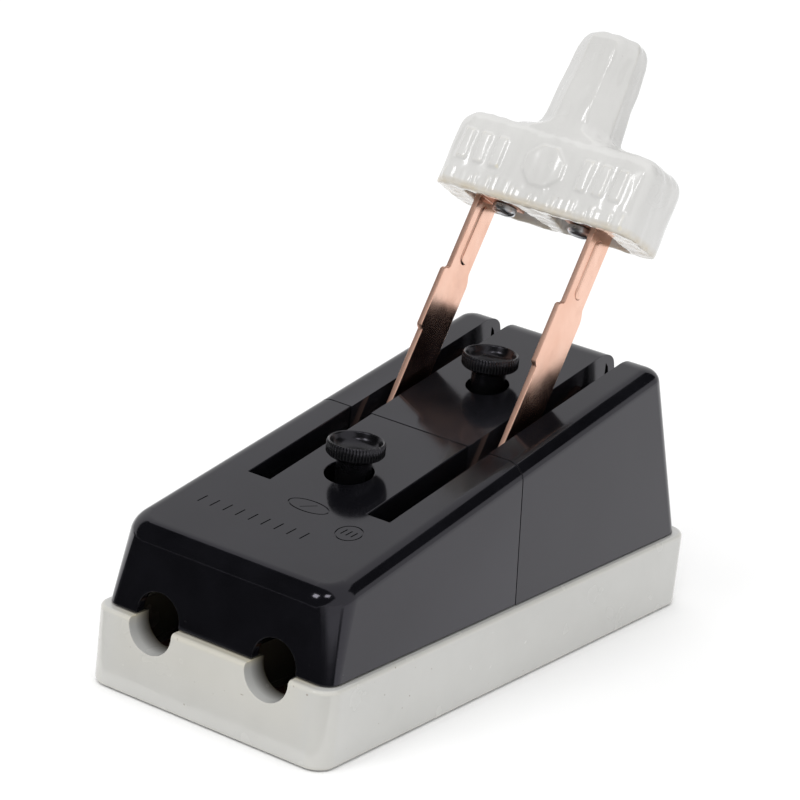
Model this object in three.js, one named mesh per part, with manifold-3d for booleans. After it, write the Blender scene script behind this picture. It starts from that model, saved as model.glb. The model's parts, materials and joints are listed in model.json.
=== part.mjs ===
// Two-pole knife blade switch: glazed porcelain base, two moulded covers held by
// thumb nuts, two hinged copper blades joined by a porcelain handle, and the
// terminals and fuse wires that the covers hide.
//
// Millimetres. Origin at the centre of the base's underside.
// +X across the two poles, +Y from the load (cable) end to the line end, +Z up.

import * as THREE from 'three';
import { mergeVertices } from 'three/addons/utils/BufferGeometryUtils.js';
import Module from 'manifold-3d';

const wasm = await Module();
wasm.setup();

// ---------------------------------------------------------------- dimensions

const GAP = 0.3;                       // clearance between touching pieces

// Porcelain base
const BASE_LENGTH = 148;
const BASE_WIDTH = 66.4;
const BASE_HEIGHT = 18.8;
const BASE_CORNER = 5;
const FLOOR_Z = 8;                     // floor of the two terminal troughs
const TROUGH_INNER = 6.5;              // trough runs from here ...
const TROUGH_OUTER = 27;               // ... to here, on each side of the centre
const TROUGH_END = 67;
const LINE_TROUGH_START = -16;
const LOAD_TROUGH_START = -39;
const FUSE_CHANNEL_HALF_WIDTH = 4;
const POLE_X = 16.4;                   // centre plane of each pole
const MOUNTING_HOLE_Y = 56;
const MOUNTING_HOLE_RADIUS = 2.4;

// Cable inlets, shared by the base and the covers
const INLET_X = 16.3;
const INLET_RADIUS = 6;
const INLET_LOW_Z = 17.7;              // centre of the round bottom, in the base
const INLET_HIGH_Z = 19.8;             // centre of the round top, in the cover

// Moulded covers: drafted walls under one sloping top
const COVER_HALF_WIDTH = 31.7;
const COVER_NEAR_Y = -71.7;
const COVER_FAR_Y = 71;
const COVER_WALL = 2.75;
const COVER_FILLET = 4;
const FAR_FILLET_REACH = 6;             // the fillet runs further in along the far edge
const SIDE_DRAFT = 0.066;
const NEAR_DRAFT = 0.045;
const FAR_DRAFT = 0.27;
const NEAR_CORNERS = [4, 8];           // corner radius at the foot and at the top
const FAR_CORNERS = [4, 4.5];
const TOP_Z_AT_CENTRE = 52.9;
const TOP_SLOPE = 0.192;
const SPLIT_Y = -0.6;                  // joint line between the two covers
const COVER_FOOT_Z = BASE_HEIGHT + GAP;

// Blade slots in the covers
const SLOT_NEAR_Y = -38.2;
const LOWER_SLOT = [13.75, 19.85];
const UPPER_SLOT = [13.95, 19.65];
const SLOT_FLOOR_FAR_Z = 46;           // how far the slot runs down the far wall
const GUARD_THICKNESS = 1.3;           // walls moulded beside the slots, under the top
const GUARD_DEPTH = 10;
const GUARD_FAR_Y = 56;

// Thumb nuts and their studs
const LOWER_NUT_Y = -25.5;
const UPPER_NUT_Y = 26.2;
const NUT_RIM_ABOVE_COVER = 8;
const NUT_HEAD_RADIUS = 6.8;
const NUT_HEAD_HEIGHT = 3.8;
const NUT_NECK_RADIUS = 4.1;
const LOWER_WELL = { x: -1.1, radius: 5.7 };   // the lower cover's well sits off its stud
const UPPER_WELL = { x: 0, radius: 5.2 };
const BOSS_WALL = 2.2;                 // boss around the well, under the cover
const SEAT_DEPTH = 5.5;                // cover surface down to the nut's seat
const STUD_RADIUS = 2;
const BUSH_RADIUS = 3;
const LOCK_NUT_Z = [2.2, 4.6];
const LOCK_RECESS_RADIUS = 5.2;

// Blades and their pivot. Edges are named by the end they face when raised.
const PIVOT_Y = 2.7;
const PIVOT_Z = 30;
const BLADE_TILT = 59.5;               // degrees above the horizontal, as stored
const BLADE_THICKNESS = 1.4;
const BLADE_EDGE = { near: -5.2, far: 6 };
const CONTACT_NEAR = -6.4;             // the contact stretch is wider on one edge
const CONTACT_SPAN = [42, 58.4];        // from the pivot, along the blade
const SHANK_EDGE = { near: -4.3, far: 4.7 };
const PIN_RADIUS = 1.6;
const PIN_HEAD_RADIUS = 2.8;
const PIVOT_WASHER = 0.5;              // thickness of the pivot's washer

// Handle, in the blade's frame: +Z along the blade, measured from the pivot
const BAR_FOOT = 76.3;
const BAR_TOP = 96.2;
const BAR_HALF_LENGTH = 28.1;
const BAR_FRONT = -11.2;
const BAR_BACK = 7.8;
const BAR_CORNER = 4.5;
const GRIP_TIP = 124;
const GRIP_CENTRE = -1.6;
const HANDLE_SHIFT = 1.6;              // the handle sits this far to the right of centre
const TAB_FOOT = BAR_FOOT + 1.2;       // bent tab of the blade that carries the handle
const TAB_REACH = 5.6;                 // from the blade to the tab's screw, inwards
const CAVITY_END_WALL = 7.5;
const CAVITY_CEILING = TAB_FOOT + BLADE_THICKNESS + GAP;
const INSERT_TOP = BAR_TOP - 3;
const INSERT_RADIUS = 2.8;

// Copper strip inside
const PLATE_Z = FLOOR_Z + GAP;
const PLATE_THICKNESS = 1.2;
const PLATE_WIDTH = 11;
const PLATE_TOP_Z = PLATE_Z + PLATE_THICKNESS;
const PLATE_MARGIN = 4.5;              // strip left beyond its last screw
const CHEEK_INNER = BLADE_THICKNESS / 2 + GAP;
const CHEEK_THICKNESS = 1.1;
const CHEEK_OUTER = CHEEK_INNER + CHEEK_THICKNESS;
const JAW_SPAN = [41, 54];             // along Y
const JAW_TOP_Z = 55;
const SCREW_HOLE = 1.9;
const SCREW_HEAD_RADIUS = 3.1;
const WASHER_RADIUS = 4;
const WASHER_THICKNESS = 0.8;
const WASHER_Z = PLATE_TOP_Z + GAP;
const CLAMP_SEAT_Z = WASHER_Z + WASHER_THICKNESS + GAP;

// Screw places along a pole
const LINE_SCREW_Y = 60.5;
const JAW_SCREW_Y = 34;
const BRACKET_SCREW_Y = 13;
const FUSE_SCREW_Y = [-11, -44];
const LOAD_SCREW_Y = -60;
const LOAD_PLATE_SPAN = [LOAD_SCREW_Y - PLATE_MARGIN, FUSE_SCREW_Y[1] + PLATE_MARGIN];

const ROUND = 20;                      // sides of a plain round part
const SMALL_ROUND = 12;                // sides of a screw or a screw hole
const REACH = 200;                     // larger than the object, for cutting blocks

// ----------------------------------------------------------------- materials

const paint = (color, roughness, metalness) =>
  new THREE.MeshStandardMaterial({ color, roughness, metalness });

const PORCELAIN = paint(0xd2d3cd, 0.22, 0);
const PHENOLIC = paint(0x17171b, 0.28, 0);
const KNOB = paint(0x0e0e10, 0.4, 0);
const COPPER = paint(0xd98e6c, 0.3, 1);
const BRASS = paint(0xb89a55, 0.35, 1);
const STEEL = paint(0xb9bcc0, 0.3, 1);
const FUSE_METAL = paint(0x9a9ca0, 0.45, 1);

// ------------------------------------------------------------ solid modelling

/** A closed three.js geometry as a manifold solid. */
function solid(geometry) {
  const bare = geometry.clone();
  bare.deleteAttribute('normal');
  bare.deleteAttribute('uv');
  const merged = mergeVertices(bare, 1e-4);
  return new wasm.Manifold(new wasm.Mesh({
    numProp: 3,
    vertProperties: new Float32Array(merged.attributes.position.array),
    triVerts: new Uint32Array(merged.index.array),
  }));
}

/** A manifold solid as a three.js geometry. */
function surface(manifold) {
  const mesh = manifold.getMesh();
  const geometry = new THREE.BufferGeometry();
  geometry.setAttribute('position', new THREE.Float32BufferAttribute(mesh.vertProperties, 3));
  geometry.setIndex(new THREE.Uint32BufferAttribute(mesh.triVerts, 1));
  geometry.computeVertexNormals();
  return geometry;
}

function block([x0, x1], [y0, y1], [z0, z1]) {
  const geometry = new THREE.BoxGeometry(x1 - x0, y1 - y0, z1 - z0);
  geometry.translate((x0 + x1) / 2, (y0 + y1) / 2, (z0 + z1) / 2);
  return solid(geometry);
}

/** Upright cylinder between two heights. */
function post(radius, z0, z1, x = 0, y = 0, sides = ROUND) {
  const geometry = new THREE.CylinderGeometry(radius, radius, z1 - z0, sides);
  geometry.rotateX(Math.PI / 2);
  geometry.translate(x, y, (z0 + z1) / 2);
  return solid(geometry);
}

/** Cylinder lying along Y between two ends. */
function barAlongY(radius, y0, y1, x, z, sides = ROUND) {
  const geometry = new THREE.CylinderGeometry(radius, radius, y1 - y0, sides);
  geometry.translate(x, (y0 + y1) / 2, z);
  return solid(geometry);
}

/** Cylinder lying along X between two ends. */
function barAlongX(radius, x0, x1, y, z, sides = SMALL_ROUND) {
  const geometry = new THREE.CylinderGeometry(radius, radius, x1 - x0, sides);
  geometry.rotateZ(Math.PI / 2);
  geometry.translate((x0 + x1) / 2, y, z);
  return solid(geometry);
}

/** Solid of revolution about Z from [radius, height] points. */
function turned(profile, sides = ROUND) {
  const geometry = new THREE.LatheGeometry(profile.map(([r, z]) => new THREE.Vector2(r, z)), sides);
  geometry.rotateX(Math.PI / 2);
  return solid(geometry);
}

/** Outline in the YZ plane, extruded along X between two values. */
function slab(shape, x0, x1) {
  const geometry = new THREE.ExtrudeGeometry(shape, {
    depth: x1 - x0, bevelEnabled: false, curveSegments: 8,
  });
  const axes = new THREE.Matrix4().makeBasis(
    new THREE.Vector3(0, 1, 0), new THREE.Vector3(0, 0, 1), new THREE.Vector3(1, 0, 0),
  );
  geometry.applyMatrix4(axes);
  geometry.translate(x0, 0, 0);
  return solid(geometry);
}

/** Closed body through a stack of loops with equal point counts, lowest first. */
function loft(rings) {
  const sides = rings[0].length;
  const positions = rings.flat().flatMap((point) => point.toArray());
  const middle = (ring) => ring
    .reduce((sum, point) => sum.add(point), new THREE.Vector3())
    .divideScalar(sides);
  positions.push(...middle(rings[0]).toArray(), ...middle(rings.at(-1)).toArray());
  const lowCentre = rings.length * sides;
  const highCentre = lowCentre + 1;
  const lastRing = (rings.length - 1) * sides;
  const index = [];
  for (let side = 0; side < sides; side += 1) {
    const next = (side + 1) % sides;
    for (let ring = 0; ring < rings.length - 1; ring += 1) {
      const low = ring * sides;
      const high = low + sides;
      index.push(low + side, low + next, high + next);
      index.push(low + side, high + next, high + side);
    }
    index.push(lowCentre, next, side);
    index.push(highCentre, lastRing + side, lastRing + next);
  }
  const geometry = new THREE.BufferGeometry();
  geometry.setAttribute('position', new THREE.Float32BufferAttribute(positions, 3));
  geometry.setIndex(index);
  return solid(geometry);
}

/** The four corners of a rounded rectangle, anticlockwise from +X +Y. */
const CORNERS = [[1, 1, 0], [-1, 1, 90], [-1, -1, 180], [1, -1, 270]];

/** Calls place(signX, signY, cos, sin) around a rounded rectangle and collects the points. */
function aroundCorners(steps, place) {
  const points = [];
  for (const [signX, signY, start] of CORNERS) {
    for (let step = 0; step <= steps; step += 1) {
      const angle = THREE.MathUtils.degToRad(start + (90 * step) / steps);
      points.push(place(signX, signY, Math.cos(angle), Math.sin(angle)));
    }
  }
  return points;
}

/** Flat rounded rectangle at a height; corners keep a small radius when inset. */
function roundedLoop(halfX, [y0, y1], corner, z, steps = 5) {
  return aroundCorners(steps, (signX, signY, cos, sin) => {
    const centreY = signY > 0 ? y1 - corner : y0 + corner;
    return new THREE.Vector3(signX * (halfX - corner) + corner * cos, centreY + corner * sin, z);
  });
}

function cut(body, ...tools) {
  return tools.reduce((left, tool) => left.subtract(tool), body);
}

function join(body, ...others) {
  return others.reduce((whole, other) => whole.add(other), body);
}

// ----------------------------------------------------------- scene graph

const assembly = new THREE.Group();
const movingBlades = new THREE.Group();
movingBlades.position.set(0, PIVOT_Y, PIVOT_Z);
movingBlades.rotation.x = THREE.MathUtils.degToRad(BLADE_TILT - 90);
assembly.add(movingBlades);

function addPiece(name, body, material, parent = assembly) {
  const mesh = new THREE.Mesh(surface(body), material);
  mesh.name = name;
  parent.add(mesh);
  return mesh;
}

const POLES = [['left', -1], ['right', 1]];

// ------------------------------------------------------------ porcelain base

/** Oblong cable inlet through an end wall, from the base up into the cover. */
function inletTool(x, y0, y1) {
  return join(
    barAlongY(INLET_RADIUS, y0, y1, x, INLET_LOW_Z, SMALL_ROUND + 4),
    barAlongY(INLET_RADIUS, y0, y1, x, INLET_HIGH_Z, SMALL_ROUND + 4),
    block([x - INLET_RADIUS, x + INLET_RADIUS], [y0, y1], [INLET_LOW_Z, INLET_HIGH_Z]),
  );
}

const ALL_INLETS = POLES.flatMap(([, side]) => [
  inletTool(side * INLET_X, -TROUGH_END - 10, -TROUGH_END + 3),
  inletTool(side * INLET_X, TROUGH_END - 3, TROUGH_END + 10),
]);

const STUD_PLACES = [['lower', LOWER_NUT_Y], ['upper', UPPER_NUT_Y]];

function makeBase() {
  const halfX = BASE_WIDTH / 2;
  const halfY = BASE_LENGTH / 2;
  const level = (inset, z) => roundedLoop(
    halfX - inset, [inset - halfY, halfY - inset], BASE_CORNER - inset, z,
  );
  const outer = loft([
    level(1.1, 0), level(0.5, 0.6), level(0.2, 2),
    level(0, BASE_HEIGHT - 1.3), level(0.3, BASE_HEIGHT - 0.4), level(1, BASE_HEIGHT),
  ]);
  const tools = [...ALL_INLETS];
  const above = BASE_HEIGHT + 5;
  for (const [, side] of POLES) {
    const across = [side * TROUGH_INNER, side * TROUGH_OUTER].sort((a, b) => a - b);
    tools.push(block(across, [LINE_TROUGH_START, TROUGH_END], [FLOOR_Z, above]));
    tools.push(block(across, [-TROUGH_END, LOAD_TROUGH_START], [FLOOR_Z, above]));
    const channel = [side * POLE_X - FUSE_CHANNEL_HALF_WIDTH, side * POLE_X + FUSE_CHANNEL_HALF_WIDTH];
    tools.push(block(channel, [LOAD_TROUGH_START - 1, LINE_TROUGH_START + 1], [FLOOR_Z + 2, above]));
    for (const y of [LINE_SCREW_Y, JAW_SCREW_Y, BRACKET_SCREW_Y, ...FUSE_SCREW_Y, LOAD_SCREW_Y]) {
      tools.push(post(SCREW_HOLE, 2, FLOOR_Z + 1, side * POLE_X, y, SMALL_ROUND));
    }
  }
  for (const [, y] of STUD_PLACES) {
    tools.push(post(STUD_RADIUS + GAP, -1, above, 0, y, SMALL_ROUND));
    tools.push(post(LOCK_RECESS_RADIUS, -1, LOCK_NUT_Z[1] + GAP, 0, y, ROUND));
  }
  for (const y of [-MOUNTING_HOLE_Y, MOUNTING_HOLE_Y]) {
    tools.push(post(MOUNTING_HOLE_RADIUS, -1, above, 0, y, SMALL_ROUND + 4));
  }
  return cut(outer, ...tools);
}

// -------------------------------------------------------------------- covers

const topZ = (y) => TOP_Z_AT_CENTRE + TOP_SLOPE * y;
const between = ([low, high], share) => low + (high - low) * share;

/**
 * One loop around both covers. rise is the share of the wall's height, inset the
 * distance in from the wall, lift the height above the foot of the top fillet.
 */
function coverLoop(rise, inset, lift, steps, farInset = inset) {
  const heightAt = (y) => COVER_FOOT_Z + rise * (topZ(y) - COVER_FILLET - COVER_FOOT_Z) + lift;
  const endAt = (foot, draft) => {
    let y = foot;
    for (let pass = 0; pass < 6; pass += 1) {
      y = foot + draft * (heightAt(y) - COVER_FOOT_Z);
    }
    return y;
  };
  const near = endAt(COVER_NEAR_Y, NEAR_DRAFT) + inset;
  const far = endAt(COVER_FAR_Y, -FAR_DRAFT) - farInset;
  const share = THREE.MathUtils.clamp(rise, 0, 1);
  const nearCorner = Math.max(between(NEAR_CORNERS, share) - inset, 0.6);
  const farCorner = Math.max(between(FAR_CORNERS, share) - inset, 0.6);
  return aroundCorners(steps, (signX, signY, cos, sin) => {
    const corner = signY > 0 ? farCorner : nearCorner;
    const y = (signY > 0 ? far - corner : near + corner) + corner * sin;
    const z = heightAt(y);
    const halfX = COVER_HALF_WIDTH - SIDE_DRAFT * (z - COVER_FOOT_Z) - inset;
    return new THREE.Vector3(signX * (halfX - corner) + corner * cos, y, z);
  });
}

/** The shell of both covers before it is divided. */
function coverShell() {
  const loops = [coverLoop(0, 0, 0, 6), coverLoop(0.5, 0, 0, 6)];
  for (const angle of [0, 22.5, 45, 67.5, 90]) {
    const turn = THREE.MathUtils.degToRad(angle);
    const inward = 1 - Math.cos(turn);
    const lift = COVER_FILLET * Math.sin(turn);
    loops.push(coverLoop(1, COVER_FILLET * inward, lift, 6, FAR_FILLET_REACH * inward));
  }
  const cavity = loft([
    coverLoop(-0.1, COVER_WALL, 0, 3),
    coverLoop(1, COVER_WALL, 0, 3),
    coverLoop(1, COVER_WALL + 0.7, COVER_FILLET - COVER_WALL, 3),
  ]);
  return cut(loft(loops), cavity);
}

function nutHoles(y, well) {
  const surfaceZ = topZ(y);
  return join(
    post(well.radius, surfaceZ - SEAT_DEPTH, surfaceZ + 5, well.x, y, ROUND),
    post(STUD_RADIUS + 0.5, surfaceZ - SEAT_DEPTH - 5, surfaceZ, 0, y, SMALL_ROUND),
  );
}

/** Wall hanging under the top between two Y and two X values. */
function slotGuard([x0, x1], [y0, y1]) {
  const outline = new THREE.Shape();
  outline.moveTo(y0, topZ(y0) - GUARD_DEPTH);
  outline.lineTo(y1, topZ(y1) - GUARD_DEPTH);
  outline.lineTo(y1, topZ(y1) - COVER_WALL / 2);
  outline.lineTo(y0, topZ(y0) - COVER_WALL / 2);
  outline.closePath();
  return slab(outline, Math.min(x0, x1), Math.max(x0, x1));
}

/** Boss under the cover's top that carries the thumb nut's seat. */
function nutBoss(y, well) {
  const reach = well.radius + BOSS_WALL;
  const low = topZ(y) - SEAT_DEPTH - 2.6;
  const underTop = slotGuard([-REACH, REACH], [y - reach - 1, y + reach + 1]);
  return post(reach, low, low + REACH, well.x, y, ROUND).intersect(underTop);
}

/** Walls along both edges of each pole's slot. */
function sideGuards([inner, outer], ends) {
  return POLES.flatMap(([, side]) => [
    slotGuard([side * (inner - GUARD_THICKNESS), side * inner], ends),
    slotGuard([side * outer, side * (outer + GUARD_THICKNESS)], ends),
  ]);
}

function makeLowerCover(shell) {
  const half = block([-REACH, REACH], [-REACH, SPLIT_Y - GAP / 2], [-REACH, REACH]);
  const guardStart = SLOT_NEAR_Y - GUARD_THICKNESS;
  const guards = sideGuards(LOWER_SLOT, [guardStart, SPLIT_Y - GAP / 2]);
  for (const [, side] of POLES) {
    guards.push(slotGuard(LOWER_SLOT.map((x) => side * x), [guardStart, SLOT_NEAR_Y]));
  }
  const body = join(shell.intersect(half), nutBoss(LOWER_NUT_Y, LOWER_WELL), ...guards);
  const tools = [...ALL_INLETS, nutHoles(LOWER_NUT_Y, LOWER_WELL)];
  for (const [, side] of POLES) {
    const across = LOWER_SLOT.map((x) => side * x).sort((a, b) => a - b);
    tools.push(block(across, [SLOT_NEAR_Y, 0], [BASE_HEIGHT + 12, REACH]));
  }
  return cut(body, ...tools);
}

function makeUpperCover(shell) {
  const half = block([-REACH, REACH], [SPLIT_Y + GAP / 2, REACH], [-REACH, REACH]);
  const guards = sideGuards(UPPER_SLOT, [SPLIT_Y + GAP / 2, GUARD_FAR_Y]);
  const body = join(shell.intersect(half), nutBoss(UPPER_NUT_Y, UPPER_WELL), ...guards);
  const tools = [...ALL_INLETS, nutHoles(UPPER_NUT_Y, UPPER_WELL)];
  for (const [, side] of POLES) {
    const across = UPPER_SLOT.map((x) => side * x).sort((a, b) => a - b);
    tools.push(block(across, [-10, REACH], [SLOT_FLOOR_FAR_Z, REACH]));
  }
  return cut(body, ...tools);
}

// ------------------------------------------------- thumb nuts and cover studs

/** Knurled knob with a dished face, bored for its threaded bush. */
function makeThumbNut(y) {
  const rim = topZ(y) + NUT_RIM_ABOVE_COVER;
  const headFoot = rim - NUT_HEAD_HEIGHT;
  const seat = topZ(y) - SEAT_DEPTH + GAP;
  const knob = turned([
    [0, seat], [NUT_NECK_RADIUS, seat], [NUT_NECK_RADIUS, headFoot - 0.6],
    [NUT_HEAD_RADIUS - 1.2, headFoot], [NUT_HEAD_RADIUS, headFoot + 0.7],
    [NUT_HEAD_RADIUS, rim - 0.4], [NUT_HEAD_RADIUS - 0.5, rim],
    [NUT_HEAD_RADIUS - 1, rim - 0.2], [2.5, rim - 1.5], [0, rim - 1.8],
  ], 32);
  const bore = post(BUSH_RADIUS + GAP, seat - 1, headFoot - 0.4, 0, 0, ROUND);
  return cut(knob, bore).translate([0, y, 0]);
}

function makeBush(y) {
  const seat = topZ(y) - SEAT_DEPTH + GAP;
  const top = topZ(y) + NUT_RIM_ABOVE_COVER - NUT_HEAD_HEIGHT - 0.4 - GAP;
  return cut(
    post(BUSH_RADIUS, seat, top, 0, y, ROUND),
    post(STUD_RADIUS + GAP, seat - 1, top + 1, 0, y, SMALL_ROUND),
  );
}

function makeStud(y) {
  const top = topZ(y) + NUT_RIM_ABOVE_COVER - NUT_HEAD_HEIGHT - 1.6;
  return post(STUD_RADIUS, 1.2, top, 0, y, SMALL_ROUND);
}

function makeLockNut(y) {
  return cut(
    post(3.8, ...LOCK_NUT_Z, 0, y, 6),
    post(STUD_RADIUS + GAP, 0, 6, 0, y, SMALL_ROUND),
  );
}

// -------------------------------------------------- terminals inside the base

/** Slotted pan-head screw standing on a given height. */
function makeScrew(x, y, seatZ) {
  const head = SCREW_HEAD_RADIUS;
  const profile = [
    [0, 3], [SCREW_HOLE - GAP, 3], [SCREW_HOLE - GAP, seatZ],
    [head, seatZ], [head, seatZ + 1.2], [head - 0.9, seatZ + 2.1], [0, seatZ + 2.1],
  ];
  const slot = block([-head - 1, head + 1], [-0.45, 0.45], [seatZ + 1.2, seatZ + 5]);
  return cut(turned(profile, SMALL_ROUND), slot).translate([x, y, 0]);
}

function makeWasher(x, y, z) {
  return cut(
    post(WASHER_RADIUS, z, z + WASHER_THICKNESS, x, y, SMALL_ROUND + 4),
    post(SCREW_HOLE, z - 1, z + 2, x, y, SMALL_ROUND),
  );
}

/** Flat strip on the trough floor, drilled at the given places. */
function makePlate(x, [y0, y1], holes) {
  const strip = block([x - PLATE_WIDTH / 2, x + PLATE_WIDTH / 2], [y0, y1], [PLATE_Z, PLATE_TOP_Z]);
  return cut(strip, ...holes.map((y) => post(SCREW_HOLE, 0, 20, x, y, SMALL_ROUND)));
}

/** Two upright cheeks from an outline in YZ, one on each side of the blade. */
function makeCheeks(x, outline) {
  return join(
    slab(outline, x - CHEEK_OUTER, x - CHEEK_INNER),
    slab(outline, x + CHEEK_INNER, x + CHEEK_OUTER),
  );
}

function makeHingeBracket(x) {
  const outline = new THREE.Shape();
  outline.moveTo(PIVOT_Y - 6, PLATE_Z);
  outline.lineTo(PIVOT_Y + 6, PLATE_Z);
  outline.lineTo(PIVOT_Y + 5, PIVOT_Z);
  outline.absarc(PIVOT_Y, PIVOT_Z, 5, 0, Math.PI, false);
  outline.closePath();
  const ends = [FUSE_SCREW_Y[0] - PLATE_MARGIN, BRACKET_SCREW_Y + PLATE_MARGIN];
  const plate = makePlate(x, ends, [FUSE_SCREW_Y[0], BRACKET_SCREW_Y]);
  const pinHole = barAlongX(PIN_RADIUS + 0.1, x - 5, x + 5, PIVOT_Y, PIVOT_Z);
  return cut(join(plate, makeCheeks(x, outline)), pinHole);
}

/** Line contact: two springy jaws on a plate that ends in the line terminal. */
function makeJaw(x) {
  const [start, end] = JAW_SPAN;
  const outline = new THREE.Shape();
  outline.moveTo(start, PLATE_Z);
  outline.lineTo(end, PLATE_Z);
  outline.lineTo(end, JAW_TOP_Z - 3);
  outline.lineTo(end - 3, JAW_TOP_Z);
  outline.lineTo(start + 1.5, JAW_TOP_Z - 4);
  outline.lineTo(start, JAW_TOP_Z - 6);
  outline.closePath();
  const ends = [JAW_SCREW_Y - PLATE_MARGIN, LINE_SCREW_Y + PLATE_MARGIN];
  const plate = makePlate(x, ends, [JAW_SCREW_Y, LINE_SCREW_Y]);
  return join(plate, makeCheeks(x, outline));
}

/** Spring steel clip that presses the jaws together from outside. */
function makeJawSpring(x) {
  const inner = CHEEK_OUTER + GAP;
  const outer = inner + 0.7;
  const bow = JAW_SPAN[1] + GAP;
  return cut(
    block([x - outer, x + outer], [JAW_SPAN[0] + 2, bow + 0.7], [30, 36]),
    block([x - inner, x + inner], [JAW_SPAN[0] - 5, bow], [25, 40]),
  );
}

/** Riveted pivot pin, with a head at each end. */
function makePivotPin(x) {
  const nearHead = -CHEEK_OUTER - GAP;
  const farHead = CHEEK_OUTER + GAP + PIVOT_WASHER + GAP;
  return join(
    barAlongX(PIN_RADIUS, x + nearHead - 0.5, x + farHead + 0.5, PIVOT_Y, PIVOT_Z),
    barAlongX(PIN_HEAD_RADIUS, x + nearHead - 1, x + nearHead, PIVOT_Y, PIVOT_Z),
    barAlongX(PIN_HEAD_RADIUS, x + farHead, x + farHead + 1, PIVOT_Y, PIVOT_Z),
  );
}

function makePivotWasher(x) {
  const inner = x + CHEEK_OUTER + GAP;
  return cut(
    barAlongX(3.6, inner, inner + PIVOT_WASHER, PIVOT_Y, PIVOT_Z),
    barAlongX(PIN_RADIUS + 0.2, inner - 1, inner + 2, PIVOT_Y, PIVOT_Z),
  );
}

/** Fuse wire lying in its channel between the two fuse screws. */
function makeFuseWire(x) {
  const radius = 0.6;
  const low = PLATE_TOP_Z + GAP + radius;
  const [highEnd, lowEnd] = [FUSE_SCREW_Y[0] - 4.4, FUSE_SCREW_Y[1] + 4.4];
  const middle = (highEnd + lowEnd) / 2;
  const path = new THREE.CatmullRomCurve3([
    new THREE.Vector3(x, highEnd, low),
    new THREE.Vector3(x, highEnd - 2.5, low + 1),
    new THREE.Vector3(x + 0.8, middle, low + 2.2),
    new THREE.Vector3(x, lowEnd + 2.5, low + 1),
    new THREE.Vector3(x, lowEnd, low),
  ]);
  const section = new THREE.Shape();
  section.absarc(0, 0, radius, 0, 2 * Math.PI, false);
  return solid(new THREE.ExtrudeGeometry(section, {
    steps: 14, curveSegments: 4, bevelEnabled: false, extrudePath: path,
  }));
}

// ------------------------------------------------------- blades and handle
// Modelled upright: Z along the blade from the pivot, Y across its width.

function makeBlade(side) {
  const { near, far } = BLADE_EDGE;
  const outline = new THREE.Shape();
  outline.moveTo(far, 0);
  outline.lineTo(far, CONTACT_SPAN[1] - 1.5);
  outline.lineTo(SHANK_EDGE.far, CONTACT_SPAN[1] + 1);
  outline.lineTo(SHANK_EDGE.far, TAB_FOOT + BLADE_THICKNESS);
  outline.lineTo(SHANK_EDGE.near, TAB_FOOT + BLADE_THICKNESS);
  outline.lineTo(SHANK_EDGE.near, CONTACT_SPAN[1]);
  outline.lineTo(CONTACT_NEAR, CONTACT_SPAN[1] - 1);
  outline.lineTo(CONTACT_NEAR, CONTACT_SPAN[0] + 0.8);
  outline.lineTo(near, CONTACT_SPAN[0]);
  outline.lineTo(near, 0);
  outline.absarc((near + far) / 2, 0, (far - near) / 2, Math.PI, 2 * Math.PI, false);
  const x = side * POLE_X;
  const half = BLADE_THICKNESS / 2;
  const tabX = [x, x - side * (TAB_REACH + 3.4)].sort((a, b) => a - b);
  const tab = block(tabX, [SHANK_EDGE.near, SHANK_EDGE.far - 1], [TAB_FOOT, TAB_FOOT + BLADE_THICKNESS]);
  return cut(
    join(slab(outline, x - half, x + half), tab),
    barAlongX(PIN_RADIUS + 0.4, x - 3, x + 3, 0, 0),
    post(SCREW_HOLE, TAB_FOOT - 2, TAB_FOOT + 4, x - side * TAB_REACH, 0, SMALL_ROUND),
  );
}

/** Eight-sided grip section, tapered towards the tip. */
function gripLoop(halfX, halfY, z) {
  const bevel = 0.42;
  const quarter = [[halfX, halfY * bevel], [halfX * bevel, halfY]];
  const around = [
    ...quarter,
    ...quarter.map(([x, y]) => [-x, y]).reverse(),
    ...quarter.map(([x, y]) => [-x, -y]),
    ...quarter.map(([x, y]) => [x, -y]).reverse(),
  ];
  return around.map(([x, y]) => new THREE.Vector3(x, GRIP_CENTRE + y, z));
}

function makeHandle() {
  const barLoop = (insetX, insetY, z) => roundedLoop(
    BAR_HALF_LENGTH - insetX, [BAR_FRONT + insetY, BAR_BACK - insetY],
    BAR_CORNER - Math.min(insetY, 3), z, 4,
  );
  const bar = loft([
    barLoop(0.5, 0.5, BAR_FOOT), barLoop(0, 0, BAR_FOOT + 1), barLoop(0.3, 0.2, BAR_TOP - 5),
    barLoop(1.3, 0.6, BAR_TOP - 2.8), barLoop(3.2, 1.5, BAR_TOP - 0.9), barLoop(6, 3, BAR_TOP),
  ]);
  const grip = loft([
    gripLoop(9.6, 7.5, BAR_TOP - 5), gripLoop(9.1, 7.1, BAR_TOP + 2),
    gripLoop(7.9, 6.3, GRIP_TIP - 5), gripLoop(7, 5.5, GRIP_TIP - 1.8), gripLoop(4.7, 3.6, GRIP_TIP),
  ]);
  const pockets = POLES.map(([, side]) => {
    const across = [side * 3, side * (BAR_HALF_LENGTH - CAVITY_END_WALL)].sort((a, b) => a - b);
    return block(across, [BAR_FRONT + 2.4, BAR_BACK - 1.5], [BAR_FOOT - 5, CAVITY_CEILING]);
  });
  const inserts = POLES.map(([, side]) => post(
    INSERT_RADIUS + GAP, CAVITY_CEILING - 1, INSERT_TOP + GAP, side * (POLE_X - TAB_REACH), 0, ROUND,
  ));
  const body = cut(join(bar, grip), ...pockets).translate([HANDLE_SHIFT, 0, 0]);
  return cut(body, ...inserts);
}

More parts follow.
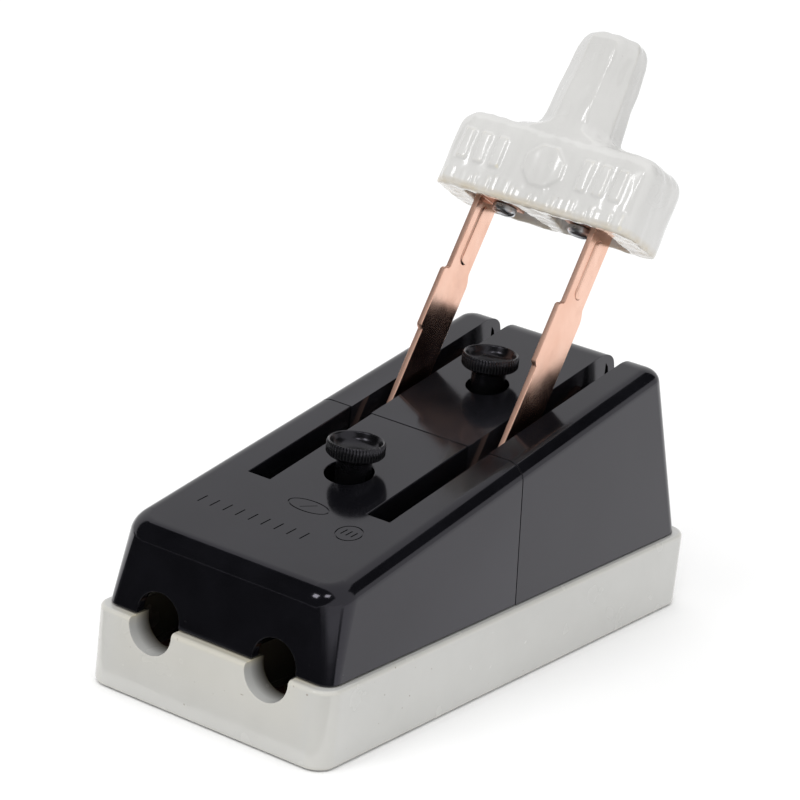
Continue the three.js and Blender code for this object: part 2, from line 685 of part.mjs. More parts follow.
function makeHandleInsert(side) {
  const x = side * (POLE_X - TAB_REACH);
  return cut(
    post(INSERT_RADIUS, CAVITY_CEILING, INSERT_TOP, x, 0, SMALL_ROUND),
    post(SCREW_HOLE, CAVITY_CEILING - 1, INSERT_TOP - 1.5, x, 0, SMALL_ROUND),
  );
}

/** Pan-head screw driven up through the blade's tab into the handle. */
function makeHandleScrew(side) {
  const seat = TAB_FOOT - GAP;
  const profile = [
    [0, seat - 2.1], [2.2, seat - 2.1], [3, seat - 1.2], [3, seat],
    [SCREW_HOLE - GAP, seat], [SCREW_HOLE - GAP, INSERT_TOP - 2], [0, INSERT_TOP - 2],
  ];
  const slot = block([-4, 4], [-0.45, 0.45], [seat - 5, seat - 1.2]);
  return cut(turned(profile, SMALL_ROUND), slot).translate([side * (POLE_X - TAB_REACH), 0, 0]);
}

// -------------------------------------------------------------- the assembly

addPiece('porcelain_base', makeBase(), PORCELAIN);

const shell = coverShell();
addPiece('lower_cover', makeLowerCover(shell), PHENOLIC);
addPiece('upper_cover', makeUpperCover(shell), PHENOLIC);

for (const [place, y] of STUD_PLACES) {
  addPiece(`${place}_thumb_nut`, makeThumbNut(y), KNOB);
  addPiece(`${place}_nut_bush`, makeBush(y), BRASS);
  addPiece(`${place}_cover_stud`, makeStud(y), STEEL);
  addPiece(`${place}_stud_lock_nut`, makeLockNut(y), STEEL);
}

for (const [name, side] of POLES) {
  const x = side * POLE_X;
  addPiece(`${name}_jaw_contact`, makeJaw(x), COPPER);
  addPiece(`${name}_jaw_spring`, makeJawSpring(x), STEEL);
  addPiece(`${name}_jaw_screw`, makeScrew(x, JAW_SCREW_Y, WASHER_Z), STEEL);
  addPiece(`${name}_line_washer`, makeWasher(x, LINE_SCREW_Y, WASHER_Z), BRASS);
  addPiece(`${name}_line_screw`, makeScrew(x, LINE_SCREW_Y, CLAMP_SEAT_Z), STEEL);
  addPiece(`${name}_hinge_bracket`, makeHingeBracket(x), COPPER);
  addPiece(`${name}_hinge_pin`, makePivotPin(x), BRASS);
  addPiece(`${name}_hinge_washer`, makePivotWasher(x), STEEL);
  addPiece(`${name}_bracket_screw`, makeScrew(x, BRACKET_SCREW_Y, WASHER_Z), STEEL);
  FUSE_SCREW_Y.forEach((y, index) => {
    const end = ['upper', 'lower'][index];
    addPiece(`${name}_${end}_fuse_washer`, makeWasher(x, y, WASHER_Z), BRASS);
    addPiece(`${name}_${end}_fuse_screw`, makeScrew(x, y, CLAMP_SEAT_Z), STEEL);
  });
  addPiece(`${name}_fuse_wire`, makeFuseWire(x), FUSE_METAL);
  const loadPlate = makePlate(x, LOAD_PLATE_SPAN, [FUSE_SCREW_Y[1], LOAD_SCREW_Y]);
  addPiece(`${name}_load_terminal`, loadPlate, COPPER);
  addPiece(`${name}_load_washer`, makeWasher(x, LOAD_SCREW_Y, WASHER_Z), BRASS);
  addPiece(`${name}_load_screw`, makeScrew(x, LOAD_SCREW_Y, CLAMP_SEAT_Z), STEEL);
  addPiece(`${name}_blade`, makeBlade(side), COPPER, movingBlades);
  addPiece(`${name}_handle_insert`, makeHandleInsert(side), BRASS, movingBlades);
  addPiece(`${name}_handle_screw`, makeHandleScrew(side), STEEL, movingBlades);
}

addPiece('handle', makeHandle(), PORCELAIN, movingBlades);

export default assembly;
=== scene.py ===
"""Looks of the two-pole knife blade switch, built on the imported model.

Shapes are written in millimetres and scaled to metres as they become meshes.
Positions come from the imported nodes; +X runs across the poles, +Y from the load
end to the line end, +Z out of the panel.
"""

import json
import math

import bmesh
import bpy
from mathutils import Matrix, Vector, noise


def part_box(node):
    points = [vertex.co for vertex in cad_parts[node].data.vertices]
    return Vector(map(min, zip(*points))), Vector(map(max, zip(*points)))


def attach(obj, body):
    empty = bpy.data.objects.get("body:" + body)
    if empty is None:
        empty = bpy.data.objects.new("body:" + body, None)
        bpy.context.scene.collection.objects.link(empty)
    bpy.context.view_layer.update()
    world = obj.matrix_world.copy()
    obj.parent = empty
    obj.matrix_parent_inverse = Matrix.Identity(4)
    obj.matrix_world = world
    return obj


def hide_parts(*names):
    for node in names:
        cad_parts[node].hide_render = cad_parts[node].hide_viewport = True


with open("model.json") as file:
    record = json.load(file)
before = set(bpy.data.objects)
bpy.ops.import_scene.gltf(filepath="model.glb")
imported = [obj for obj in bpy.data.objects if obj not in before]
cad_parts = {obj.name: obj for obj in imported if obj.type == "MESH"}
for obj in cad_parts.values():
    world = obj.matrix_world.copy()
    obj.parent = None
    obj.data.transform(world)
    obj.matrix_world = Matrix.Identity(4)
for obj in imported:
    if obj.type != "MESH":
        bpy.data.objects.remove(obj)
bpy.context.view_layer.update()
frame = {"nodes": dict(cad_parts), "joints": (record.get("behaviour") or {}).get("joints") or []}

# ------------------------------------------------------------------ camera


def add_camera():
    """The viewing angle: to the right of the load end, a little above the covers."""
    azimuth, elevation, roll = (math.radians(a) for a in (33.988, 19.112, 6.221))
    back = Vector((math.sin(azimuth) * math.cos(elevation),
                   -math.cos(azimuth) * math.cos(elevation),
                   math.sin(elevation)))
    level = Vector((math.cos(azimuth), math.sin(azimuth), 0))
    up = back.cross(level)
    across = level * math.cos(roll) + up * math.sin(roll)
    upward = up * math.cos(roll) - level * math.sin(roll)
    place = Vector((0, 0, 0.030)) - across * 0.0025 + upward * 0.0281 + back * 0.8054
    data = bpy.data.cameras.new("camera")
    data.lens = 155.2
    data.sensor_width = 36
    data.clip_start = 0.01
    camera = bpy.data.objects.new("camera", data)
    camera.matrix_world = Matrix.Translation(place) @ Matrix((across, upward, back)).transposed().to_4x4()
    bpy.context.scene.collection.objects.link(camera)
    bpy.context.scene.camera = camera


add_camera()

# ------------------------------------------------- dimensions, from the frame

MM = 0.001


def box_mm(node):
    low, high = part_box(node)
    return low / MM, high / MM


def centre_mm(node):
    low, high = box_mm(node)
    return (low + high) / 2


_, base_high = box_mm("porcelain_base")
cover_low, _ = box_mm("lower_cover")
_, cover_high = box_mm("upper_cover")
swing = next(j for j in frame["joints"] if j["name"] == "blade_swing")
PIVOT = Vector(swing["pos_m"]) / MM
TILT = math.radians(59.5)              # blades above the base, as stored
GAP = 0.3
POLE_X = centre_mm("right_hinge_bracket").x
POLES = (("left", -1), ("right", 1))

BASE_HALF_X, BASE_HALF_Y, BASE_TOP = base_high.x, base_high.y, base_high.z
BASE_CORNER = 5
FLOOR_Z = 8
TROUGH_X = (6.5, 27)
TROUGH_END = 67
INLET_X, INLET_RADIUS = 16.3, 6
INLET_Z = (17.7, 19.8)
BASE_ROUNDING = (1.1, 1.0)             # foot and rim of the base
CHANNEL_HALF = 4
TERMINAL_SCREWS = ("line", "jaw", "bracket", "upper_fuse", "lower_fuse", "load")
SCREW_HOLE = 1.9
MOUNT_HOLE, MOUNT_Y = 2.4, 56
LOCK_RECESS = (5.2, 4.9)               # radius and depth

COVER_FOOT = cover_low.z
COVER_HALF_X = cover_high.x
COVER_Y = (cover_low.y, cover_high.y)
WALL, FILLET, FAR_REACH = 2.75, 4, 6
SIDE_DRAFT, NEAR_DRAFT, FAR_DRAFT = 0.066, 0.045, 0.27
NEAR_CORNERS, FAR_CORNERS = (4, 8), (4, 4.5)
TOP_AT_CENTRE, TOP_SLOPE = 52.9, 0.192
SPLIT_Y = -0.6
SEAM = 0.05                            # the covers almost touch; their eased edges leave a groove
SLOT_NEAR_Y = -38.2
LOWER_SLOT, UPPER_SLOT = (13.75, 19.85), (13.95, 19.65)
LOWER_SLOT_FLOOR, UPPER_SLOT_FLOOR = BASE_TOP + 12, 46
GUARD, GUARD_DEPTH, GUARD_FAR_Y = 1.3, 10, 56

NUTS = (("lower", centre_mm("lower_thumb_nut").y), ("upper", centre_mm("upper_thumb_nut").y))
NUT_RIM, NUT_SEAT = 8, 5.5
NUT_HEAD, NUT_NECK, NUT_HEAD_DEPTH = 6.8, 4.1, 3.8
NUT_TEETH, KNURL = 56, 0.2
BUSH = 3
WELLS = {"lower": (-1.1, 5.7), "upper": (0, 5.2)}
BOSS_WALL, BOSS_FLOOR = 2.2, 2.6
STUD = 2

BAR_FOOT, BAR_TOP = 76.3, 96.2
BAR_HALF, BAR_FRONT, BAR_BACK, BAR_CORNER = 28.1, -11.2, 7.8, 4.5
GRIP_TIP, GRIP_CENTRE, HANDLE_SHIFT = 124, -1.6, 1.6
TAB_FOOT, TAB_REACH = BAR_FOOT + 1.2, 5.6
CAVITY_END_WALL = 7.5
BLADE = 1.4
RIB_ENDS, RIB_RADII = (62.4, 74), (1.9, 1.75, 1.2)
RIB_SINK, RIB_DEPTHS = 0.2, (0, 0.3, 0.7)
PIN_HOLE = 2.0

# --------------------------------------------------------------- mesh helpers


def new_object(name, verts, faces):
    """Mesh object from millimetre points, with outward normals."""
    mesh = bpy.data.meshes.new(name)
    mesh.from_pydata([tuple(c * MM for c in v) for v in verts], [], faces)
    bm = bmesh.new()
    bm.from_mesh(mesh)
    bmesh.ops.recalc_face_normals(bm, faces=bm.faces)
    bm.to_mesh(mesh)
    bm.free()
    obj = bpy.data.objects.new(name, mesh)
    bpy.context.scene.collection.objects.link(obj)
    return obj


def loft(name, rings):
    """Closed body through loops with equal point counts."""
    sides = len(rings[0])
    verts = [point for ring in rings for point in ring]
    faces = [tuple(range(sides)), tuple((len(rings) - 1) * sides + k for k in range(sides))]
    for level in range(len(rings) - 1):
        low = level * sides
        for k in range(sides):
            n = (k + 1) % sides
            faces.append((low + k, low + n, low + sides + n, low + sides + k))
    return new_object(name, verts, faces)


def circle(radius, z, x=0.0, y=0.0, sides=48):
    turns = (2 * math.pi * k / sides for k in range(sides))
    return [(x + radius * math.cos(a), y + radius * math.sin(a), z) for a in turns]


def post(name, radius, z0, z1, x=0.0, y=0.0, sides=48):
    return loft(name, [circle(radius, z0, x, y, sides), circle(radius, z1, x, y, sides)])


def block(name, xs, ys, zs):
    (x0, x1), (y0, y1), (z0, z1) = sorted(xs), sorted(ys), sorted(zs)
    ring = [(x0, y0), (x1, y0), (x1, y1), (x0, y1)]
    return loft(name, [[(x, y, z) for x, y in ring] for z in (z0, z1)])


def plate(name, outline, x0, x1):
    """Outline of (Y, Z) points, as a plate between two X values."""
    return loft(name, [[(x, y, z) for y, z in outline] for x in (x0, x1)])


def turned(name, profile, sides=64):
    """Solid of revolution about Z from (radius, height) points; the ends are capped."""
    return loft(name, [circle(r, z, sides=sides) for r, z in profile])


def rounded(half_x, y0, y1, corner, z, steps=10):
    points = []
    for sx, sy, start in ((1, 1, 0), (-1, 1, 90), (-1, -1, 180), (1, -1, 270)):
        for k in range(steps + 1):
            a = math.radians(start + 90 * k / steps)
            cy = y1 - corner if sy > 0 else y0 + corner
            points.append((sx * (half_x - corner) + corner * math.cos(a), cy + corner * math.sin(a), z))
    return points


def applied(obj):
    """The object's modifiers made permanent."""
    bpy.context.view_layer.update()
    graph = bpy.context.evaluated_depsgraph_get()
    mesh = bpy.data.meshes.new_from_object(obj.evaluated_get(graph))
    old = obj.data
    obj.modifiers.clear()
    obj.data = mesh
    bpy.data.meshes.remove(old)
    return obj


def combine(obj, tools, operation):
    """Cuts or joins the tools in one go, then removes them."""
    for tool in tools:
        modifier = obj.modifiers.new("combine", "BOOLEAN")
        modifier.operation = operation
        modifier.solver = "EXACT"
        modifier.object = tool
    applied(obj)
    for tool in tools:
        mesh = tool.data
        bpy.data.objects.remove(tool)
        bpy.data.meshes.remove(mesh)
    return obj


def cut(obj, *tools):
    return combine(obj, tools, "DIFFERENCE")


def join(obj, *tools):
    return combine(obj, tools, "UNION")


def soften(obj, width, angle=35, segments=3):
    """Rounds the hard edges a boolean leaves."""
    bm = bmesh.new()
    bm.from_mesh(obj.data)
    bmesh.ops.remove_doubles(bm, verts=bm.verts, dist=0.00002)
    bmesh.ops.dissolve_limit(bm, angle_limit=math.radians(0.6), verts=bm.verts, edges=bm.edges)
    bm.to_mesh(obj.data)
    bm.free()
    bevel = obj.modifiers.new("soften", "BEVEL")
    bevel.width = width * MM
    bevel.segments = segments
    bevel.limit_method = "ANGLE"
    bevel.angle_limit = math.radians(angle)
    bevel.use_clamp_overlap = True
    return applied(obj)


def shade(obj, angle=38):
    """Smooth shading that keeps flats flat and hard edges hard."""
    bm = bmesh.new()
    bm.from_mesh(obj.data)
    for edge in bm.edges:
        edge.smooth = edge.calc_face_angle(0) < math.radians(angle)
    for face in bm.faces:
        face.smooth = True
    bm.to_mesh(obj.data)
    bm.free()
    weighted = obj.modifiers.new("normals", "WEIGHTED_NORMAL")
    weighted.keep_sharp = True
    weighted.weight = 80
    return applied(obj)


def on_blade(obj):
    """Moves a piece modelled upright (Z along the blade) onto the raised blades."""
    turn = Matrix.Rotation(TILT - math.pi / 2, 4, "X")
    obj.data.transform(Matrix.Translation(PIVOT * MM) @ turn)
    return obj


def place(obj, body, nodes, slot, material):
    obj.data.materials.clear()
    obj.data.materials.append(material)
    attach(obj, body)
    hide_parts(*nodes)
    return obj


# ------------------------------------------------------------------- materials


class Nodes:
    """A node material with the helpers the finishes below share."""

    def __init__(self, name):
        self.material = bpy.data.materials.new(name)
        self.material.use_nodes = True
        self.tree = self.material.node_tree
        self.shader = self.tree.nodes["Principled BSDF"]
        self.where = self.tree.nodes.new("ShaderNodeTexCoord").outputs["Object"]

    def link(self, source, target):
        self.tree.links.new(source, target)

    def stretched(self, scale):
        mapping = self.tree.nodes.new("ShaderNodeMapping")
        mapping.inputs["Scale"].default_value = scale
        self.link(self.where, mapping.inputs["Vector"])
        return mapping.outputs["Vector"]

    def noise(self, scale, detail=3, roughness=0.5, where=None, distortion=0.0):
        node = self.tree.nodes.new("ShaderNodeTexNoise")
        node.inputs["Scale"].default_value = scale
        node.inputs["Detail"].default_value = detail
        node.inputs["Roughness"].default_value = roughness
        node.inputs["Distortion"].default_value = distortion
        self.link(where or self.where, node.inputs["Vector"])
        return node.outputs["Fac"]

    def ramp(self, source, stops):
        node = self.tree.nodes.new("ShaderNodeValToRGB")
        elements = node.color_ramp.elements
        while len(elements) < len(stops):
            elements.new(0.5)
        for element, (position, colour) in zip(elements, stops):
            element.position = position
            element.color = (*colour, 1) if len(colour) == 3 else colour
        self.link(source, node.inputs["Fac"])
        return node.outputs["Color"]

    def grey(self, source, stops):
        return self.ramp(source, [(at, (v, v, v)) for at, v in stops])

    def mix(self, amount, a, b):
        node = self.tree.nodes.new("ShaderNodeMix")
        node.data_type = "RGBA"
        for socket, value in ((node.inputs[0], amount), (node.inputs[6], a), (node.inputs[7], b)):
            if isinstance(value, bpy.types.NodeSocket):
                self.link(value, socket)
            elif isinstance(value, tuple):
                socket.default_value = (*value, 1)
            else:
                socket.default_value = value
        return node.outputs[2]

    def bump(self, source, strength, distance, below=None):
        node = self.tree.nodes.new("ShaderNodeBump")
        node.inputs["Strength"].default_value = strength
        node.inputs["Distance"].default_value = distance
        self.link(source, node.inputs["Height"])
        if below is not None:
            self.link(below, node.inputs["Normal"])
        return node.outputs["Normal"]

    def along(self, direction, start, end):
        """0 before start and 1 past end, in metres along a direction."""
        dot = self.tree.nodes.new("ShaderNodeVectorMath")
        dot.operation = "DOT_PRODUCT"
        dot.inputs[1].default_value = direction
        self.link(self.where, dot.inputs[0])
        scale = self.tree.nodes.new("ShaderNodeMapRange")
        scale.inputs["From Min"].default_value = start
        scale.inputs["From Max"].default_value = end
        self.link(dot.outputs["Value"], scale.inputs["Value"])
        return scale.outputs["Result"]

    def times(self, a, b):
        node = self.tree.nodes.new("ShaderNodeMath")
        node.operation = "MULTIPLY"
        self.link(a, node.inputs[0])
        self.link(b, node.inputs[1])
        return node.outputs["Value"]

    def inside(self, half_x, half_y, fade):
        """1 within a box about the Z axis, in metres, fading out past its Y ends."""
        left = self.along((1, 0, 0), -half_x - 0.0001, -half_x)
        right = self.along((-1, 0, 0), -half_x - 0.0001, -half_x)
        near = self.along((0, 1, 0), -half_y - fade, -half_y)
        far = self.along((0, -1, 0), -half_y - fade, -half_y)
        return self.times(self.times(left, right), self.times(near, far))

    def sheared(self):
        """1 on the narrow faces of a plate that stands across X."""
        coords = self.tree.nodes.new("ShaderNodeTexCoord")
        size = self.tree.nodes.new("ShaderNodeVectorMath")
        size.operation = "ABSOLUTE"
        self.link(coords.outputs["Normal"], size.inputs[0])
        split = self.tree.nodes.new("ShaderNodeSeparateXYZ")
        self.link(size.outputs["Vector"], split.inputs["Vector"])
        return self.grey(split.outputs["X"], [(0.55, 1), (0.9, 0)])

    def edges(self, low=0.5, high=0.62):
        """Worn or thin-glazed convex edges, from the surface's own curvature."""
        geometry = self.tree.nodes.new("ShaderNodeNewGeometry")
        return self.grey(geometry.outputs["Pointiness"], [(low, 0), (high, 1)])

    def set(self, **values):
        for name, value in values.items():
            self.shader.inputs[name.replace("_", " ")].default_value = value

    def feed(self, **sources):
        for name, source in sources.items():
            self.link(source, self.shader.inputs[name.replace("_", " ")])
        return self.material


def porcelain(name, light, dark, cream, bare_and_shade, wave=0.35, coat=0.35):
    """Glazed ceramic; the last argument gives the share and colour of a patch over the glaze: unglazed,
    soiled body on the handle's rim, painted shade in the base's troughs.
    """
    n = Nodes(name)
    cloud = n.noise(38, 3, 0.55)
    glaze = n.ramp(cloud, [(0.3, dark), (0.7, light)])
    worn = n.edges(0.515, 0.59)
    body = n.mix(worn, glaze, cream)
    # Patch over the glaze: unglazed body on the handle's rim, painted shade in the base's troughs.
    share, bare_and_shade_colour = bare_and_shade(n)
    body = n.mix(share, body, bare_and_shade_colour)
    specks = n.noise(900, 1, 0.4)
    freckle = n.grey(specks, [(0.79, 0), (0.83, 0.5)])
    colour = n.mix(freckle, body, (0.20, 0.15, 0.10))
    ripple = n.bump(n.noise(75, 2, 0.4, distortion=0.3), wave, 0.0009)
    fine = n.bump(n.noise(480, 2, 0.5), 0.12, 0.0002, ripple)
    gloss = n.grey(n.noise(120, 2), [(0.35, 0.16), (0.75, 0.32)])
    n.set(Coat_Weight=coat, Coat_Roughness=0.05, IOR=1.5)
    return n.feed(Base_Color=colour, Roughness=gloss, Normal=fine)


def phenolic(name, base, gloss_low, gloss_high, lip=0.006):
    """Moulded black plastic; lip lightens the worn edges."""
    n = Nodes(name)
    cloud = n.noise(55, 4, 0.6)
    tone = n.ramp(cloud, [(0.3, tuple(c * 0.75 for c in base)), (0.75, tuple(c * 1.4 for c in base))])
    worn = n.edges(0.54, 0.66)
    colour = n.mix(worn, tone, tuple(c * 3 + lip for c in base))
    dust = n.grey(n.noise(1500, 1, 0.3), [(0.8, 0), (0.84, 0.25)])
    colour = n.mix(dust, colour, (0.10, 0.10, 0.10))
    wave = n.bump(n.noise(60, 2, 0.4), 0.06, 0.0006)
    fine = n.bump(n.noise(2200, 2, 0.5), 0.03, 0.00005, wave)
    gloss = n.grey(n.noise(90, 4, 0.6), [(0.3, gloss_low), (0.75, gloss_high)])
    n.set(IOR=1.5, Specular_Tint=(0.9, 0.87, 1, 1))
    return n.feed(Base_Color=colour, Roughness=gloss, Normal=fine)


def metal(name, light, dark, rough, stretch=(1, 1, 1), grain=900, tarnish=None, cut_rough=None):
    """Rolled, drawn or plated metal.

    stretch squeezes the grain along its run; cut_rough roughens the sheared edges of a plate.
    """
    n = Nodes(name)
    run = n.stretched(stretch)
    streak = n.noise(grain, 3, 0.6, run)
    tone = n.ramp(streak, [(0.3, dark), (0.7, light)])
    stain = n.grey(n.noise(110, 4, 0.6), [(0.55, 0), (0.8, 0.5)])
    colour = n.mix(stain, tone, tarnish or tuple(c * 0.6 for c in dark))
    gloss = n.grey(n.noise(grain * 0.6, 3, 0.6, run), [(0.3, rough), (0.75, rough + 0.14)])
    if cut_rough is not None:
        gloss = n.mix(n.sheared(), gloss, (cut_rough,) * 3)
    scratch = n.bump(streak, 0.10, 0.00006)
    dent = n.bump(n.noise(140, 2, 0.4), 0.12, 0.0004, scratch)
    n.set(Metallic=1.0)
    return n.feed(Base_Color=colour, Roughness=gloss, Normal=dent)



def trough_painted_shade(n):
    """Painted shade: a dark colour laid in the troughs inside the base, fading out into the inlets."""
    return n.inside(0.0272, 0.0672, 0.0045), (0.07, 0.06, 0.045)


def rim_soil(n):
    """The handle's lower rim, where the glaze was wiped off."""
    direction = (0, math.cos(TILT), math.sin(TILT))
    foot = Vector(direction).dot(PIVOT) * MM + BAR_FOOT * MM
    rim = n.along(tuple(-c for c in direction), -foot - 0.0021, -foot - 0.0006)
    patches = n.grey(n.noise(260, 3, 0.6), [(0.35, 0.35), (0.65, 1)])
    return n.times(rim, patches), (0.58, 0.52, 0.42)


# The base's troughs take painted shade as their patch colour.
BASE_GLAZE = porcelain("base_glaze", (0.56, 0.56, 0.545), (0.515, 0.515, 0.50),
                       (0.64, 0.59, 0.45), trough_painted_shade)
HANDLE_GLAZE = porcelain("handle_glaze", (0.66, 0.655, 0.64), (0.58, 0.575, 0.56),
                         (0.70, 0.67, 0.58), rim_soil, wave=0.8, coat=0.8)
COVER_BLACK = phenolic("cover_phenolic", (0.0045, 0.0045, 0.0058), 0.09, 0.16)
KNOB_BLACK = phenolic("knob_phenolic", (0.0035, 0.0035, 0.004), 0.2, 0.32, 0.07)
BLADE_RUN = (1, 0.12, 0.07)
BLADE_COPPER = metal("blade_copper", (0.91, 0.61, 0.49), (0.82, 0.50, 0.38), 0.15, BLADE_RUN, 1100,
                     tarnish=(0.62, 0.34, 0.25), cut_rough=0.5)
STRIP_COPPER = metal("strip_copper", (0.42, 0.22, 0.15), (0.25, 0.12, 0.08), 0.32, (1, 0.1, 1))
BRASS = metal("turned_brass", (0.82, 0.66, 0.38), (0.68, 0.52, 0.28), 0.25, (1, 1, 0.1))
STEEL = metal("plated_steel", (0.72, 0.73, 0.75), (0.56, 0.57, 0.60), 0.26)
SPRING = metal("spring_steel", (0.50, 0.51, 0.53), (0.34, 0.35, 0.38), 0.32, (1, 1, 0.2))
FUSE = metal("fuse_metal", (0.66, 0.67, 0.69), (0.48, 0.49, 0.51), 0.4, (1, 0.2, 1))

# ------------------------------------------------------------- porcelain base


def inlet(x, y0, y1):
    """Cable inlet: upright oblong, cut along Y."""
    ring = []
    for k in range(48):
        a = 2 * math.pi * (k + 0.5) / 48
        z = INLET_Z[1] if math.sin(a) > 0 else INLET_Z[0]
        ring.append((x + INLET_RADIUS * math.cos(a), z + INLET_RADIUS * math.sin(a)))
    return loft("inlet", [[(u, y, w) for u, w in ring] for y in (y0, y1)])


def inlets():
    return [inlet(side * INLET_X, *ends)
            for _, side in POLES
            for ends in ((-TROUGH_END - 10, -TROUGH_END + 3), (TROUGH_END - 3, TROUGH_END + 10))]


def build_base():
    rings = []
    foot, rim = BASE_ROUNDING
    for k in range(7):
        a = math.radians(90 * k / 6)
        rings.append((foot * (1 - math.sin(a)), foot * (1 - math.cos(a))))
    for k in range(7):
        a = math.radians(90 * k / 6)
        rings.append((rim * (1 - math.cos(a)), BASE_TOP - rim + rim * math.sin(a)))
    outline = [rounded(BASE_HALF_X - inset, -BASE_HALF_Y + inset, BASE_HALF_Y - inset,
                       BASE_CORNER - inset, z, 12) for inset, z in rings]
    base = loft("porcelain_base_piece", outline)
    above = BASE_TOP + 5
    tools = inlets()
    for pole, side in POLES:
        across = [side * x for x in TROUGH_X]
        tools.append(block("trough", across, (-16, TROUGH_END), (FLOOR_Z, above)))
        tools.append(block("trough", across, (-TROUGH_END, -39), (FLOOR_Z, above)))
        channel = (side * POLE_X - CHANNEL_HALF, side * POLE_X + CHANNEL_HALF)
        tools.append(block("channel", channel, (-40, -15), (FLOOR_Z + 2, above)))
        for screw in TERMINAL_SCREWS:
            at = centre_mm(f"{pole}_{screw}_screw")
            tools.append(post("hole", SCREW_HOLE, 2, FLOOR_Z + 1, at.x, at.y, 24))
    for _, y in NUTS:
        tools.append(post("hole", STUD + GAP, -1, above, 0, y, 32))
        tools.append(post("recess", LOCK_RECESS[0], -1, LOCK_RECESS[1], 0, y))
    for y in (-MOUNT_Y, MOUNT_Y):
        tools.append(post("hole", MOUNT_HOLE, -1, above, 0, y, 32))
    cut(base, *tools)
    soften(base, 0.55)
    shade(base)
    return place(base, "switch_body", ["porcelain_base"], "base_porcelain", BASE_GLAZE)


build_base()

# --------------------------------------------------------------------- covers


def top_z(y):
    return TOP_AT_CENTRE + TOP_SLOPE * y


def cover_loop(rise, inset, lift, far_inset=None, steps=14):
    """One loop round both covers: rise up the wall, inset from it, lift above the fillet's foot."""
    def height(y):
        return COVER_FOOT + rise * (top_z(y) - FILLET - COVER_FOOT) + lift

    def end(foot, draft):
        y = foot
        for _ in range(6):
            y = foot + draft * (height(y) - COVER_FOOT)
        return y

    near = end(COVER_Y[0], NEAR_DRAFT) + inset
    far = end(COVER_Y[1], -FAR_DRAFT) - (inset if far_inset is None else far_inset)
    share = min(max(rise, 0), 1)
    corner_at = {-1: NEAR_CORNERS[0] + (NEAR_CORNERS[1] - NEAR_CORNERS[0]) * share,
                 1: FAR_CORNERS[0] + (FAR_CORNERS[1] - FAR_CORNERS[0]) * share}
    points = []
    for sx, sy, start in ((1, 1, 0), (-1, 1, 90), (-1, -1, 180), (1, -1, 270)):
        corner = max(corner_at[sy] - inset, 0.6)
        for k in range(steps + 1):
            a = math.radians(start + 90 * k / steps)
            y = (far - corner if sy > 0 else near + corner) + corner * math.sin(a)
            z = height(y)
            half_x = COVER_HALF_X - SIDE_DRAFT * (z - COVER_FOOT) - inset
            points.append((sx * (half_x - corner) + corner * math.cos(a), y, z))
    return points


def cover_shell(name):
    rings = [cover_loop(0, 0, 0), cover_loop(0.33, 0, 0), cover_loop(0.66, 0, 0)]
    for k in range(9):
        a = math.radians(90 * k / 8)
        inward = 1 - math.cos(a)
        rings.append(cover_loop(1, FILLET * inward, FILLET * math.sin(a), FAR_REACH * inward))
    shell = loft(name, rings)
    cavity = loft("cavity", [cover_loop(-0.1, WALL, 0), cover_loop(1, WALL, 0),
                             cover_loop(1, WALL + 0.7, FILLET - WALL)])
    return cut(shell, cavity)


def guard(xs, ys):
    """Wall hanging under the cover's top."""
    outline = [(y, top_z(y) - GUARD_DEPTH) for y in ys] + [(y, top_z(y) - WALL / 2) for y in reversed(ys)]
    return plate("guard", outline, *xs)


def guards(side, slot, ys):
    """Walls along both edges of a pole's slot."""
    inner, outer = (side * x for x in slot)
    return [guard((inner - side * GUARD, inner), ys), guard((outer, outer + side * GUARD), ys)]


def stroke(x, y, length, lean, width=0.34, depth=0.24):
    """Cutter for one straight groove in the cover's top."""
    low, high = [], []
    for u, v in ((-1, -1), (1, -1), (1, 1), (-1, 1)):
        px = x + u * width / 2 + v * lean * length / 2
        py = y + v * length / 2
        low.append((px, py, top_z(py) - depth))
        high.append((px, py, top_z(py) + 1))
    return loft("stroke", [low, high])


def groove_ring(x, y, half_x, half_y, width=0.3, depth=0.22, sides=64):
    """Cutter for an oval groove in the cover's top."""
    def loop(grow, lift):
        turns = (2 * math.pi * k / sides for k in range(sides))
        points = [(x + (half_x + grow) * math.cos(a), y + (half_y + grow) * math.sin(a)) for a in turns]
        return [(px, py, top_z(py) + lift) for px, py in points]

    loops = [loop(width / 2, -depth), loop(width / 2, 1), loop(-width / 2, 1), loop(-width / 2, -depth)]
    verts = [point for ring in loops for point in ring]
    faces = []
    for level in range(4):
        low, high = level * sides, (level + 1) % 4 * sides
        for k in range(sides):
            n = (k + 1) % sides
            faces.append((low + k, low + n, high + n, high + k))
    return new_object("groove", verts, faces)


def top_marks():
    """Plain grooves in the lower cover: a row of strokes, an oval with one bar, a ring with three."""
    marks = [stroke(-20.5 + 3.6 * k, -53.6 - 0.1 * (k % 2), 3.1, 0.12) for k in range(9)]
    marks += [groove_ring(1, -42.9, 5.4, 2.3), stroke(1, -42.9, 2.4, 1.3)]
    marks += [groove_ring(15.6, -47.2, 3.1, 3.1)]
    marks += [stroke(15.6 + dx, -47.2, 2.2, 0.12) for dx in (-1.4, 0, 1.4)]
    return marks


